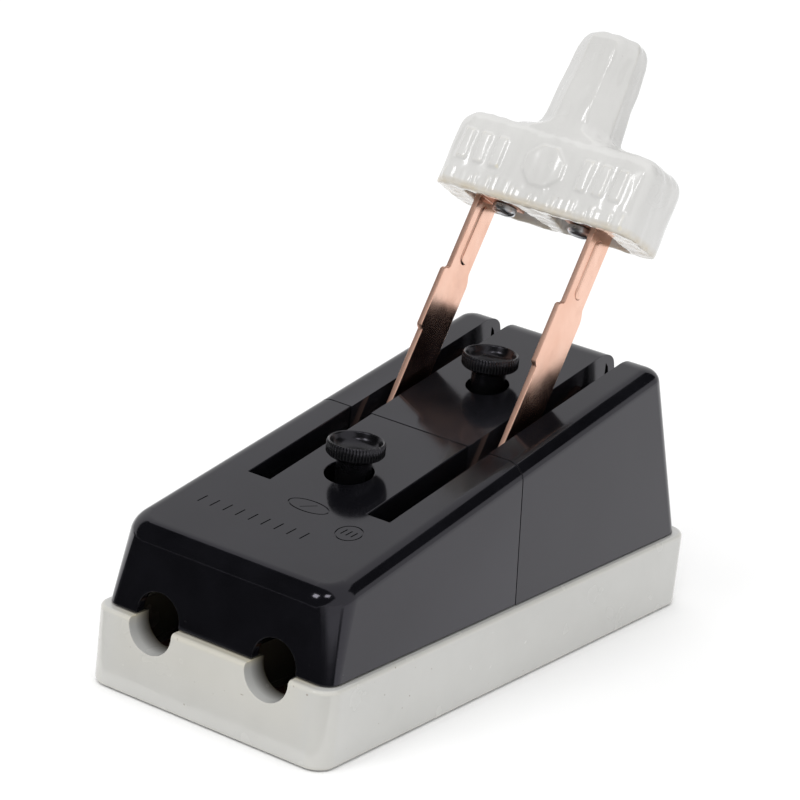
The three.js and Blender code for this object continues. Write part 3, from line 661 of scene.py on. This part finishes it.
def build_cover(place_name, nut_y):
    lower = place_name == "lower"
    shell = cover_shell(place_name + "_cover_piece")
    far = 200
    keep = (-far, SPLIT_Y - SEAM) if lower else (SPLIT_Y + SEAM, far)
    combine(shell, [block("half", (-far, far), keep, (-far, far))], "INTERSECT")
    z = top_z(nut_y)
    well_x, well_radius = WELLS[place_name]
    foot = circle(well_radius + BOSS_WALL, z - NUT_SEAT - BOSS_FLOOR, well_x, nut_y)
    walls = [loft("boss", [foot, [(px, py, top_z(py) - WALL / 2) for px, py, _ in foot]])]
    for _, side in POLES:
        if lower:
            walls += guards(side, LOWER_SLOT, (SLOT_NEAR_Y - GUARD, SPLIT_Y - SEAM))
            walls.append(guard([side * x for x in LOWER_SLOT], (SLOT_NEAR_Y - GUARD, SLOT_NEAR_Y)))
        else:
            walls += guards(side, UPPER_SLOT, (SPLIT_Y + SEAM, GUARD_FAR_Y))
    join(shell, *walls)
    tools = inlets()
    slots, ys, floor = ((LOWER_SLOT, (SLOT_NEAR_Y, 5), LOWER_SLOT_FLOOR) if lower
                        else (UPPER_SLOT, (-10, far), UPPER_SLOT_FLOOR))
    for _, side in POLES:
        tools.append(block("slot", [side * x for x in slots], ys, (floor, far)))
    tools.append(post("well", well_radius, z - NUT_SEAT, z + 5, well_x, nut_y, 64))
    tools.append(post("stud_hole", STUD + 0.5, z - NUT_SEAT - 5, z, 0, nut_y, 32))
    cut(shell, *tools)
    soften(shell, 0.3)
    if lower:
        cut(shell, *top_marks())
    shade(shell)
    return place(shell, "switch_body", [place_name + "_cover"], "cover_phenolic", COVER_BLACK)


for place_name, nut_y in NUTS:
    build_cover(place_name, nut_y)

# ----------------------------------------------------------------- thumb nuts


def build_nut(place_name, y):
    """Knob with a knurled rim and a dished face; profile: radius, height, share of the knurl."""
    rim = top_z(y) + NUT_RIM
    foot = rim - NUT_HEAD_DEPTH
    seat = top_z(y) - NUT_SEAT + GAP
    sides = NUT_TEETH * 8
    profile = [
        (NUT_NECK - 0.3, seat, 0), (NUT_NECK, seat + 0.3, 0), (NUT_NECK, foot - 0.9, 0),
        (NUT_NECK + 0.25, foot - 0.55, 0), (NUT_HEAD - 1.2, foot, 0), (NUT_HEAD - 0.5, foot + 0.35, 0.2),
        (NUT_HEAD, foot + 0.9, 0.5), (NUT_HEAD, rim - 0.8, 0.8), (NUT_HEAD - 0.1, rim - 0.45, 1),
        (NUT_HEAD - 0.28, rim - 0.12, 0.5), (NUT_HEAD - 0.42, rim, 0), (NUT_HEAD - 0.62, rim - 0.04, 0),
        (NUT_HEAD - 0.85, rim - 0.4, 0), (NUT_HEAD - 1.1, rim - 1.2, 0), (NUT_HEAD - 1.6, rim - 2.0, 0),
        (NUT_HEAD - 2.6, rim - 2.5, 0), (NUT_HEAD - 4.4, rim - 2.8, 0), (0.3, rim - 2.85, 0),
    ]
    rings = []
    for radius, z, bite in profile:
        ring = []
        for k in range(sides):
            a = 2 * math.pi * k / sides
            wave = 0.5 + 0.5 * math.cos(NUT_TEETH * a)
            r = radius - KNURL * bite * (1 - wave) ** 0.8
            ring.append((r * math.cos(a), y + r * math.sin(a), z))
        rings.append(ring)
    knob = loft(place_name + "_thumb_nut_piece", rings)
    cut(knob, post("bore", BUSH + GAP, seat - 1, foot - 0.4, 0, y))
    shade(knob, 50)
    return place(knob, place_name + "_knob", [place_name + "_thumb_nut"], "knob_phenolic", KNOB_BLACK)


for place_name, nut_y in NUTS:
    build_nut(place_name, nut_y)

# --------------------------------------------------------------------- blades


def arc(cx, cy, radius, start, end, steps):
    return [(cx + radius * math.cos(math.radians(start + (end - start) * k / steps)),
             cy + radius * math.sin(math.radians(start + (end - start) * k / steps)))
            for k in range(steps + 1)]


def pressed_rib(x):
    """Oblong swelling along the shank: full at x, narrowing towards +X."""
    rings = []
    low, high = RIB_ENDS
    for depth, radius in zip(RIB_DEPTHS, RIB_RADII):
        loop = arc(0, high, radius, 0, 180, 12) + arc(0, low, radius, 180, 360, 12)
        rings.append([(x + depth, t, s) for t, s in loop])
    return loft("rib", rings)


def build_blade(name, side):
    """Copper plate: round foot on the pin, wide stretch for the jaw, narrow shank, bent tab."""
    near, far, wide = -5.2, 6.0, -6.4
    s0, s1 = 42, 58.4
    shank_near, shank_far = -4.3, 4.7
    top = TAB_FOOT + BLADE
    outline = [(far, 0), (far, s1 - 1.8), (far - 0.3, s1 - 0.6), (shank_far, s1 + 1.2),
               (shank_far, top), (shank_near, top), (shank_near, s1 + 0.3), (shank_near - 0.5, s1 - 0.3),
               (wide + 0.5, s1 - 0.6), (wide, s1 - 1.2), (wide, s0 + 1), (wide + 0.4, s0 + 0.4), (near, s0)]
    outline += arc((near + far) / 2, 0, (far - near) / 2, 180, 360, 24)[:-1]
    x = side * POLE_X
    blade = plate(name + "_blade_piece", outline, x - BLADE / 2, x + BLADE / 2)
    tab_x = (x, x - side * (TAB_REACH + 3.4))
    join(blade, block("tab", tab_x, (shank_near, shank_far - 1), (TAB_FOOT, top)))
    hole = loft("pin_hole", [[(px, PIN_HOLE * math.cos(a), PIN_HOLE * math.sin(a))
                              for a in (2 * math.pi * k / 32 for k in range(32))]
                             for px in (x - 3, x + 3)])
    cut(blade, hole, post("hole", SCREW_HOLE, TAB_FOOT - 2, TAB_FOOT + 4, x - side * TAB_REACH, 0, 32))
    soften(blade, 0.22, 40, 2)
    join(blade, pressed_rib(x + BLADE / 2 - RIB_SINK))
    cut(blade, pressed_rib(x - BLADE / 2 - RIB_SINK))
    on_blade(blade)
    shade(blade, 40)
    return place(blade, "blade_assembly", [name + "_blade"], "blade_copper", BLADE_COPPER)


for name, side in POLES:
    build_blade(name, side)

# --------------------------------------------------------------------- handle


def grip_loop(half_x, half_y, z, steps=6):
    """Eight-sided grip section with its corners eased."""
    bevel = 0.42
    corner = [(half_x, half_y * bevel), (half_x * bevel, half_y)]
    around = (corner + [(-x, y) for x, y in reversed(corner)]
              + [(-x, -y) for x, y in corner] + [(x, -y) for x, y in reversed(corner)])
    points = []
    for k, (x, y) in enumerate(around):
        nx, ny = around[(k + 1) % 8]
        for step in range(steps):
            u = step / steps
            points.append((x + (nx - x) * u, GRIP_CENTRE + y + (ny - y) * u, z))
    return points


def bar_loop(dx, dy, z):
    """Section of the handle's bar, inset from its widest."""
    return rounded(BAR_HALF - dx, BAR_FRONT + dy, BAR_BACK - dy, BAR_CORNER - min(dy, 3), z, 8)


def handle_marks():
    """Raised ribs along the bar's lower edge, plain bars above them and a pad in the middle."""
    marks = []
    for k in range(30):
        x = -25 + 50 * k / 29
        height = 2.6 + 2.4 * noise.noise(Vector((k * 0.7, 0.3, 0)))
        marks.append(block("rib", (x - 0.38, x + 0.38), (BAR_FRONT - 0.3, BAR_FRONT + 0.6),
                           (BAR_FOOT + 1.3, BAR_FOOT + 1.3 + height)))
    for x in (-22.5, -17.8, -13.1, 11.4, 16.1, 20.8):
        marks.append(block("bar", (x - 1.2, x + 1.2), (BAR_FRONT - 0.5, BAR_FRONT + 1),
                           (BAR_FOOT + 7, BAR_FOOT + 14.5)))
    pad = [(5.6 * math.cos(a), BAR_FOOT + 10.4 + 5.3 * math.sin(a))
           for a in (2 * math.pi * (k + 0.5) / 8 for k in range(8))]
    marks.append(loft("pad", [[(x, y, z) for x, z in pad] for y in (BAR_FRONT - 0.45, BAR_FRONT + 1)]))
    return marks


def flow_glaze(handle):
    """Thick glaze: softened edges over a slightly uneven body."""
    remesh = handle.modifiers.new("skin", "REMESH")
    remesh.mode = "VOXEL"
    remesh.voxel_size = 0.4 * MM
    smooth = handle.modifiers.new("glaze", "SMOOTH")
    smooth.factor = 0.5
    smooth.iterations = 6
    applied(handle)
    bm = bmesh.new()
    bm.from_mesh(handle.data)
    bm.normal_update()
    for vert in bm.verts:
        p = vert.co / MM
        broad = noise.noise(p * 0.11) * 0.26
        runs = noise.noise(Vector((p.x * 0.45, p.y * 0.45, p.z * 0.14))) * 0.2
        vert.co += vert.normal * (broad + runs - 0.05) * MM
    for face in bm.faces:
        face.smooth = True
    bm.to_mesh(handle.data)
    bm.free()


def build_handle():
    low = [(0.2, 0.2, 0), (0, 0, 0.5)]
    high = [(0.1, 0.1, -4.2), (0.4, 0.3, -3.1), (1.0, 0.7, -2),
            (1.9, 1.3, -1.1), (3.1, 2.2, -0.4), (5, 3.4, 0)]
    handle = loft("handle_piece", [bar_loop(dx, dy, base + z)
                                   for base, loops in ((BAR_FOOT, low), (BAR_TOP, high))
                                   for dx, dy, z in loops])
    foot = [(21, 8.6, -3), (20, 8.3, -0.1), (13.5, 8.2, 1.1), (10.6, 7.9, 2), (9.7, 7.5, 3.4)]
    tip = [(8.4, 6.6, -5), (8.0, 6.3, -2.9), (7.2, 5.6, -1.4), (5.9, 4.5, -0.5), (4.4, 3.3, -0.3)]
    join(handle, loft("grip", [grip_loop(half_x, half_y, base + z)
                               for base, loops in ((BAR_TOP, foot), (GRIP_TIP, tip))
                               for half_x, half_y, z in loops]))
    pockets = []
    for _, side in POLES:
        end = BAR_HALF - CAVITY_END_WALL
        outline = ((4.6, BAR_FRONT + 2.6), (end - 0.8, BAR_FRONT + 2.6), (end, BAR_BACK - 1.5),
                   (1.6, BAR_BACK - 1.5))
        pockets.append(loft("pocket", [[(side * x, y, z) for x, y in outline]
                                       for z in (BAR_FOOT - 5, TAB_FOOT + BLADE + GAP)]))
    cut(handle, *pockets)
    join(handle, *handle_marks())
    handle.data.transform(Matrix.Translation((HANDLE_SHIFT * MM, 0, 0)))
    sockets = [post("socket", 3.1, TAB_FOOT + BLADE, BAR_TOP - 2.7, side * (POLE_X - TAB_REACH), 0)
               for _, side in POLES]
    cut(handle, *sockets)
    flow_glaze(handle)
    on_blade(handle)
    return place(handle, "blade_assembly", ["handle"], "handle_porcelain", HANDLE_GLAZE)


build_handle()


def build_handle_screw(name, side):
    """Domed, slotted head under the tab, with its shank in the handle."""
    seat = TAB_FOOT - GAP
    screw = turned(name + "_handle_screw_piece", [
        (0.4, seat - 2.1), (1.6, seat - 2.05), (2.4, seat - 1.8), (2.85, seat - 1.35), (3.0, seat - 0.9),
        (3.0, seat), (1.6, seat), (1.6, BAR_TOP - 5.2), (1.2, BAR_TOP - 5), (0.3, BAR_TOP - 5)], 48)
    cut(screw, block("slot", (-4, 4), (-0.4, 0.4), (seat - 5, seat - 1.1)))
    screw.data.transform(Matrix.Translation((side * (POLE_X - TAB_REACH) * MM, 0, 0)))
    on_blade(screw)
    shade(screw, 35)
    return place(screw, "blade_assembly", [name + "_handle_screw"], "plated_steel", STEEL)


for name, side in POLES:
    build_handle_screw(name, side)

# ------------------------------------------------ finishes of the other nodes

FINISHES = (
    (("jaw_contact", "hinge_bracket", "load_terminal"), STRIP_COPPER),
    (("nut_bush", "hinge_pin", "handle_insert"), BRASS),
    (("line_washer", "fuse_washer", "load_washer"), BRASS),
    (("jaw_spring", "hinge_washer"), SPRING),
    (("fuse_wire",), FUSE),
    (("_screw", "stud", "lock_nut"), STEEL),
)
for node_name, node in frame["nodes"].items():
    if node.hide_render:
        continue
    for words, finish in FINISHES:
        if any(word in node_name for word in words):
            node.data.materials.clear()
            node.data.materials.append(finish)
            break

# ------------------------------------------------------------ floor and light


def stage_plane(name, corners, material):
    mesh = bpy.data.meshes.new(name)
    mesh.from_pydata(corners, [], [(0, 1, 2, 3)])
    mesh.materials.append(material)
    obj = bpy.data.objects.new(name, mesh)
    bpy.context.scene.collection.objects.link(obj)
    return obj


def facing(toward, distance, half_width, half_height):
    """Corners of a card that faces the switch from a direction."""
    toward = Vector(toward).normalized()
    side = toward.cross(Vector((0, 0, 1))).normalized() * half_width
    rise = side.normalized().cross(toward) * half_height
    middle = toward * distance + Vector((0, 0, 0.06))
    return [middle - side - rise, middle + side - rise, middle + side + rise, middle - side + rise]


def flat(xs, ys, z):
    """Corners of a level card."""
    return [(xs[0], ys[0], z), (xs[1], ys[0], z), (xs[1], ys[1], z), (xs[0], ys[1], z)]


def add_floor():
    paper = Nodes("floor_paper")
    tone = paper.ramp(paper.noise(3, 2), [(0.3, (0.98, 0.98, 0.98)), (0.7, (0.99, 0.99, 0.99))])
    paper.set(Roughness=0.9, Specular_IOR_Level=0.1)
    paper.feed(Base_Color=tone)
    stage_plane("floor", flat((-4, 4), (-4, 4), -0.0002), paper.material)


def add_flags():
    """Black cards that only show in reflections, so the glossy parts keep their dark faces."""
    flag = Nodes("black_flag")
    flag.set(Base_Color=(0.002, 0.002, 0.002, 1), Roughness=1.0, Specular_IOR_Level=0.0)
    for name, corners in (
            ("low_flag", flat((-0.9, 0.4), (-0.9, -0.08), 0.0005)),
            ("far_flag", facing((0.528, 0.607, 0.592), 0.62, 0.26, 0.22)),
            ("front_flag", facing((-0.28, -0.65, 0.55), 1.5, 2, 1.25))):
        card = stage_plane(name, corners, flag.material)
        card.visible_camera = False
        card.visible_diffuse = False
        card.visible_shadow = False
        card.visible_transmission = False


def aim(name, kind, spot, power):
    """A light at spot, pointed at the switch."""
    light = bpy.data.lights.new(name, kind)
    light.energy = power
    obj = bpy.data.objects.new(name, light)
    obj.location = spot
    obj.rotation_euler = (Vector((0, 0, 0.05)) - Vector(spot)).to_track_quat("-Z", "Y").to_euler()
    bpy.context.scene.collection.objects.link(obj)
    return obj


def add_light():
    world = bpy.data.worlds.new("studio")
    world.use_nodes = True
    world.node_tree.nodes["Background"].inputs["Color"].default_value = (1, 1, 1, 1)
    world.node_tree.nodes["Background"].inputs["Strength"].default_value = 0.78
    bpy.context.scene.world = world
    ceiling = aim("ceiling", "SUN", (0.03, -0.05, 1.0), 0.8)
    ceiling.data.angle = math.radians(50)
    ceiling.visible_glossy = False
    aim("left_box", "AREA", (-0.18, -0.75, 0.75), 1.4).data.size = 0.24
    aim("right_box", "AREA", (0.26, -0.6, 0.9), 0.9).data.size = 0.2


add_floor()
add_flags()
add_light()
bpy.context.scene.view_settings.view_transform = "Standard"
